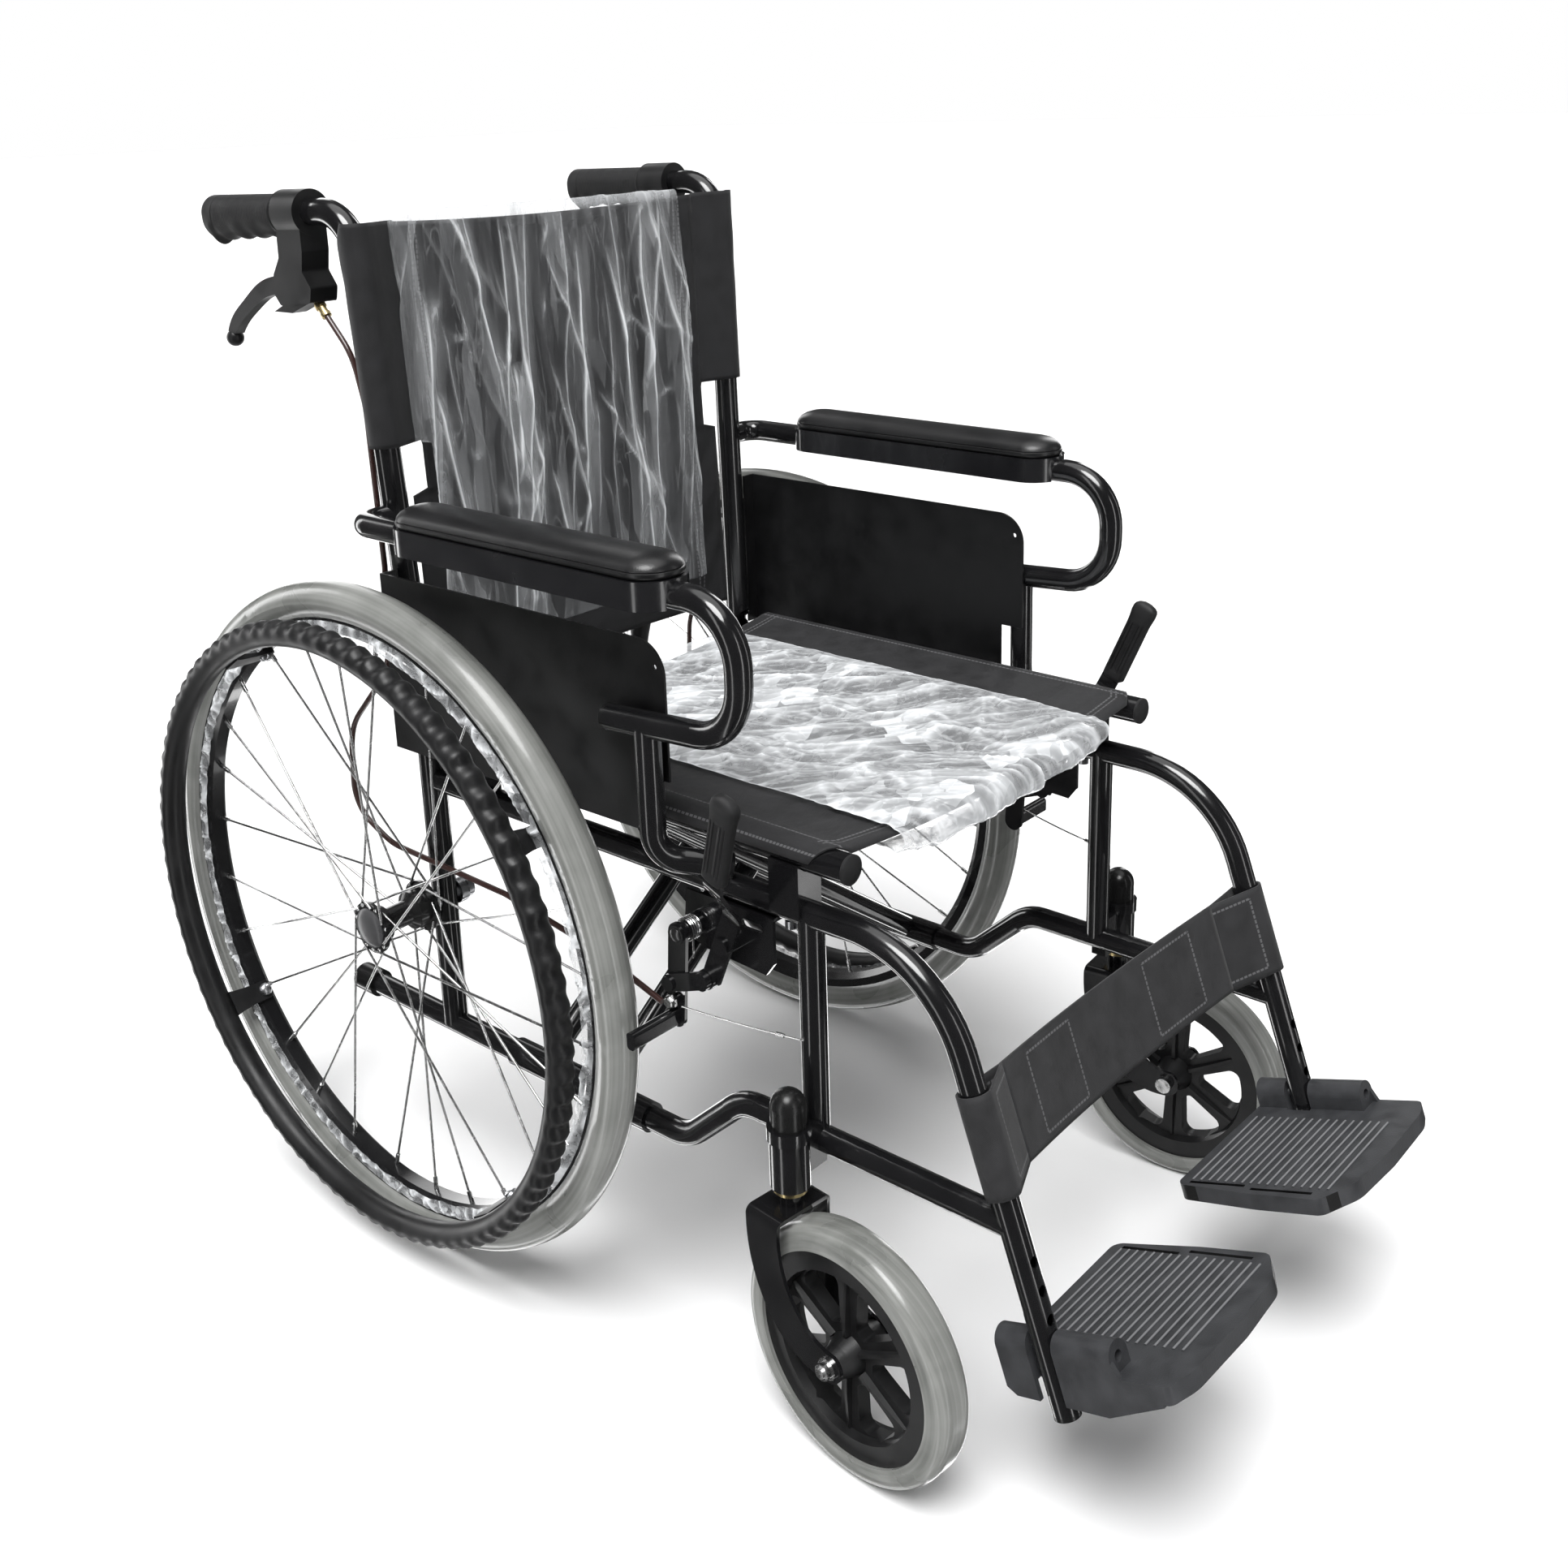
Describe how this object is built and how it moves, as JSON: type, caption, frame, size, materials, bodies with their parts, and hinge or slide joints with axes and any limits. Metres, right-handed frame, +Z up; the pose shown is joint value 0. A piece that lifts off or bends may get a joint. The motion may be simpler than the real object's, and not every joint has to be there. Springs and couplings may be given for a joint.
{
  "type": "manual wheelchair",
  "caption": "Folding manual wheelchair with spoked rear wheels and hand rims, swivel casters, wheel locks, attendant brake levers, padded armrests and flip-up footplates.",
  "frame": {"origin": "on the floor under the middle of the box of the opened chair", "axes": "+Z up, +Y to the rear (the push handles), +X to the sitter's left"},
  "size_m": [0.628, 1.0371, 0.9071],
  "materials": {
    "frame_black": "high gloss",
    "bolt_steel": "satin",
    "bearing_steel": "satin",
    "spoke_steel": "bright",
    "rim_black": "gloss",
    "tyre_grey": "matt",
    "hub_black": "satin",
    "plastic_black": "fine grain",
    "plastic_grey": "fine grain",
    "rubber_black": "matt",
    "vinyl_black": "fine grain",
    "tray_black": "gloss",
    "fabric_black": "woven",
    "cable_brown": "gloss",
    "cap_black": "gloss"
  },
  "bodies": {
    "right_side": {"right_side_frame": "frame_black", "right_frame_bolts": "bolt_steel", "right_frame_caps": "cap_black", "right_brake_bracket": "frame_black", "right_push_grip": "rubber_black", "right_brake_housing": "plastic_black", "right_brake_cable": "cable_brown", "right_arm_tray": "tray_black", "right_arm_pad": "vinyl_black", "right_side_panel": "plastic_black", "back_sling": "fabric_black", "calf_strap": "fabric_black"},
    "left_side": {"left_side_frame": "frame_black", "left_frame_bolts": "bolt_steel", "left_frame_caps": "cap_black", "left_brake_bracket": "frame_black", "left_push_grip": "rubber_black", "left_brake_housing": "plastic_black", "left_brake_cable": "cable_brown", "left_arm_tray": "tray_black", "left_arm_pad": "vinyl_black", "left_side_panel": "plastic_black"},
    "right_brace": {"right_cross_brace": "frame_black", "cross_bolt": "bolt_steel"},
    "left_brace": {"left_cross_brace": "frame_black", "seat_sling": "fabric_black"},
    "right_wheel": {"right_rear_tyre": "tyre_grey", "right_rear_rim": "rim_black", "right_rear_hub": "hub_black", "right_hub_bearings": "bearing_steel", "right_spokes": "spoke_steel", "right_hand_rim": "plastic_black", "right_rim_standoffs": "bolt_steel"},
    "right_fork": {"right_caster_fork": "frame_black", "right_caster_axle": "bolt_steel"},
    "right_caster": {"right_caster_wheel": "plastic_black", "right_caster_tyre": "tyre_grey"},
    "right_brake": {"right_brake_lever": "frame_black", "right_brake_lever_grip": "rubber_black"},
    "right_link": {"right_brake_link": "frame_black"},
    "right_shoe": {"right_brake_shoe": "frame_black"},
    "right_attendant_lever": {"right_hand_lever": "plastic_black"},
    "right_foot": {"right_footplate": "plastic_grey"},
    "left_wheel": {"left_rear_tyre": "tyre_grey", "left_rear_rim": "rim_black", "left_rear_hub": "hub_black", "left_hub_bearings": "bearing_steel", "left_spokes": "spoke_steel", "left_hand_rim": "plastic_black", "left_rim_standoffs": "bolt_steel"},
    "left_fork": {"left_caster_fork": "frame_black", "left_caster_axle": "bolt_steel"},
    "left_caster": {"left_caster_wheel": "plastic_black", "left_caster_tyre": "tyre_grey"},
    "left_brake": {"left_brake_lever": "frame_black", "left_brake_lever_grip": "rubber_black"},
    "left_link": {"left_brake_link": "frame_black"},
    "left_shoe": {"left_brake_shoe": "frame_black"},
    "left_attendant_lever": {"left_hand_lever": "plastic_black"},
    "left_foot": {"left_footplate": "plastic_grey"}
  },
  "joints": [
    {"name": "fold", "type": "hinge", "parent": "right_side", "child": "right_brace", "pos_m": [-0.1975, 0.0635, 0.175], "axis": [0, -1, 0], "range_deg": [0, 39], "deforming": ["seat_sling", "back_sling", "calf_strap"]},
    {"name": "cross_pivot", "type": "hinge", "parent": "right_brace", "child": "left_brace", "pos_m": [0, 0.051, 0.31575], "axis": [0, -1, 0], "range_deg": [-78, 0]},
    {"name": "left_frame_hinge", "type": "hinge", "parent": "left_brace", "child": "left_side", "pos_m": [0.1975, 0.0385, 0.175], "axis": [0, -1, 0], "range_deg": [0, 39]},
    {"name": "right_wheel_spin", "type": "hinge", "parent": "right_side", "child": "right_wheel", "pos_m": [-0.248, 0.2185, 0.3], "axis": [1, 0, 0], "continuous": true},
    {"name": "right_caster_swivel", "type": "hinge", "parent": "right_side", "child": "right_fork", "pos_m": [-0.231, -0.21, 0.22], "axis": [0, 0, 1], "continuous": true},
    {"name": "right_caster_spin", "type": "hinge", "parent": "right_fork", "child": "right_caster", "pos_m": [-0.23721, -0.27219, 0.1], "axis": [0.9951, -0.0993, 0], "continuous": true},
    {"name": "right_brake_lever", "type": "hinge", "parent": "right_side", "child": "right_brake", "pos_m": [-0.2235, -0.1449, 0.3773], "axis": [1, 0, 0], "range_deg": [0, 31]},
    {"name": "right_brake_link", "type": "hinge", "parent": "right_brake", "child": "right_link", "pos_m": [-0.23075, -0.131, 0.3474], "axis": [1, 0, 0], "range_deg": [-49.6, 0]},
    {"name": "right_brake_shoe", "type": "hinge", "parent": "right_side", "child": "right_shoe", "pos_m": [-0.2275, -0.1034, 0.3758], "axis": [1, 0, 0], "range_deg": [0, 7.34]},
    {"name": "right_hand_lever", "type": "hinge", "parent": "right_side", "child": "right_attendant_lever", "pos_m": [-0.2095, 0.331, 0.829], "axis": [1, 0, 0], "range_deg": [0, 20], "stiffness_Nm_per_rad": 0.6},
    {"name": "right_footplate_flip", "type": "hinge", "parent": "right_side", "child": "right_foot", "pos_m": [-0.1975, -0.40921, 0.15019], "axis": [0, -0.9426, 0.3338], "range_deg": [0, 84]},
    {"name": "left_wheel_spin", "type": "hinge", "parent": "left_side", "child": "left_wheel", "pos_m": [0.248, 0.2185, 0.3], "axis": [1, 0, 0], "continuous": true},
    {"name": "left_caster_swivel", "type": "hinge", "parent": "left_side", "child": "left_fork", "pos_m": [0.231, -0.21, 0.22], "axis": [0, 0, 1], "continuous": true},
    {"name": "left_caster_spin", "type": "hinge", "parent": "left_fork", "child": "left_caster", "pos_m": [0.23721, -0.27219, 0.1], "axis": [0.9951, 0.0993, 0], "continuous": true},
    {"name": "left_brake_lever", "type": "hinge", "parent": "left_side", "child": "left_brake", "pos_m": [0.2235, -0.1449, 0.3773], "axis": [1, 0, 0], "range_deg": [0, 31]},
    {"name": "left_brake_link", "type": "hinge", "parent": "left_brake", "child": "left_link", "pos_m": [0.23075, -0.131, 0.3474], "axis": [1, 0, 0], "range_deg": [-49.6, 0]},
    {"name": "left_brake_shoe", "type": "hinge", "parent": "left_side", "child": "left_shoe", "pos_m": [0.2275, -0.1034, 0.3758], "axis": [1, 0, 0], "range_deg": [0, 7.34]},
    {"name": "left_hand_lever", "type": "hinge", "parent": "left_side", "child": "left_attendant_lever", "pos_m": [0.2095, 0.331, 0.829], "axis": [1, 0, 0], "range_deg": [0, 20], "stiffness_Nm_per_rad": 0.6},
    {"name": "left_footplate_flip", "type": "hinge", "parent": "left_side", "child": "left_foot", "pos_m": [0.1975, -0.40921, 0.15019], "axis": [0, 0.9426, -0.3338], "range_deg": [0, 84]}
  ],
  "couplings": [
    {"joint": "cross_pivot", "follows": "fold", "ratio": -2},
    {"joint": "left_frame_hinge", "follows": "fold", "ratio": 1},
    {"joint": "right_footplate_flip", "follows": "fold", "ratio": 2.1538},
    {"joint": "right_brake_link", "follows": "right_brake_lever", "ratio": -1.6},
    {"joint": "right_brake_shoe", "follows": "right_brake_lever", "ratio": 0.23684},
    {"joint": "left_footplate_flip", "follows": "fold", "ratio": 2.1538},
    {"joint": "left_brake_link", "follows": "left_brake_lever", "ratio": -1.6},
    {"joint": "left_brake_shoe", "follows": "left_brake_lever", "ratio": 0.23684}
  ]
}
